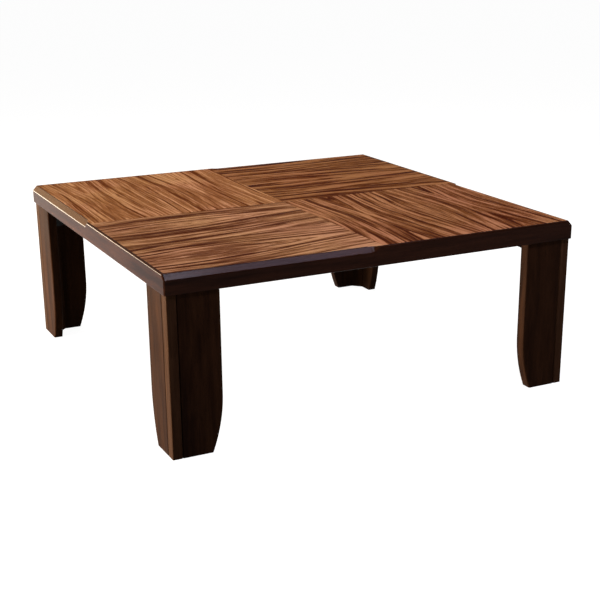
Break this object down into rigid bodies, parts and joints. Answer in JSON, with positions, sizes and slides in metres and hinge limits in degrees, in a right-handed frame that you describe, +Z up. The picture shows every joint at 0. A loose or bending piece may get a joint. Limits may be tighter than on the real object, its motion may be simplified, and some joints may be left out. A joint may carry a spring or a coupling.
{
  "type": "folding low table",
  "caption": "Low square floor table with a pinwheel walnut veneer top, stopped edge bevels and L-shaped corner legs that fold flat under the top.",
  "frame": {"origin": "on the floor under the middle of the top, with the legs open", "axes": "+Z up, +X to the right and +Y to the back, so the front edge faces -Y"},
  "size_m": [0.9, 0.9, 0.358],
  "materials": {
    "walnut_veneer": "satin lacquer over walnut figure",
    "edge_lacquer": "dark brown gloss lacquer",
    "leg_wood": "dark brown stain, satin",
    "face_board": "stained plywood",
    "core_wood": "raw softwood",
    "bracket_steel": "black zinc plated",
    "spring_steel": "blued spring steel",
    "fastener_steel": "zinc plated"
  },
  "bodies": {
    "top": {"base_bracket_back_left": "bracket_steel", "base_bracket_back_right": "bracket_steel", "base_bracket_front_left": "bracket_steel", "base_bracket_front_right": "bracket_steel", "base_bracket_screws": "fastener_steel", "catch_rivets": "fastener_steel", "catch_spring_back_left": "spring_steel", "catch_spring_back_right": "spring_steel", "catch_spring_front_left": "spring_steel", "catch_spring_front_right": "spring_steel", "core_battens": "core_wood", "corner_mount_blocks": "core_wood", "edge_rail_back": "edge_lacquer", "edge_rail_front": "edge_lacquer", "edge_rail_left": "edge_lacquer", "edge_rail_right": "edge_lacquer", "lower_face_board": "face_board", "pivot_pins": "fastener_steel", "upper_face_board": "face_board", "walnut_panel_back_left": "walnut_veneer", "walnut_panel_back_right": "walnut_veneer", "walnut_panel_front_left": "walnut_veneer", "walnut_panel_front_right": "walnut_veneer"},
    "leg_front_left": {"leg_front_left_bracket": "bracket_steel", "leg_front_left_bracket_screws": "fastener_steel", "leg_front_left_corner_block": "leg_wood", "leg_front_left_end_wing": "leg_wood", "leg_front_left_post": "leg_wood", "leg_front_left_side_wing": "leg_wood"},
    "leg_front_right": {"leg_front_right_bracket": "bracket_steel", "leg_front_right_bracket_screws": "fastener_steel", "leg_front_right_corner_block": "leg_wood", "leg_front_right_end_wing": "leg_wood", "leg_front_right_post": "leg_wood", "leg_front_right_side_wing": "leg_wood"},
    "leg_back_left": {"leg_back_left_bracket": "bracket_steel", "leg_back_left_bracket_screws": "fastener_steel", "leg_back_left_corner_block": "leg_wood", "leg_back_left_end_wing": "leg_wood", "leg_back_left_post": "leg_wood", "leg_back_left_side_wing": "leg_wood"},
    "leg_back_right": {"leg_back_right_bracket": "bracket_steel", "leg_back_right_bracket_screws": "fastener_steel", "leg_back_right_corner_block": "leg_wood", "leg_back_right_end_wing": "leg_wood", "leg_back_right_post": "leg_wood", "leg_back_right_side_wing": "leg_wood"}
  },
  "joints": [
    {"name": "leg_front_left_fold", "type": "hinge", "parent": "top", "child": "leg_front_left", "pos_m": [-0.3475, -0.36925, 0.308], "axis": [0, -1, 0], "range_deg": [0, 90], "deforming": ["catch_spring_front_left"]},
    {"name": "leg_front_right_fold", "type": "hinge", "parent": "top", "child": "leg_front_right", "pos_m": [0.3475, -0.36925, 0.308], "axis": [0, 1, 0], "range_deg": [0, 90], "deforming": ["catch_spring_front_right"]},
    {"name": "leg_back_left_fold", "type": "hinge", "parent": "top", "child": "leg_back_left", "pos_m": [-0.3475, 0.36925, 0.308], "axis": [0, -1, 0], "range_deg": [0, 90], "deforming": ["catch_spring_back_left"]},
    {"name": "leg_back_right_fold", "type": "hinge", "parent": "top", "child": "leg_back_right", "pos_m": [0.3475, 0.36925, 0.308], "axis": [0, 1, 0], "range_deg": [0, 90], "deforming": ["catch_spring_back_right"]}
  ]
}
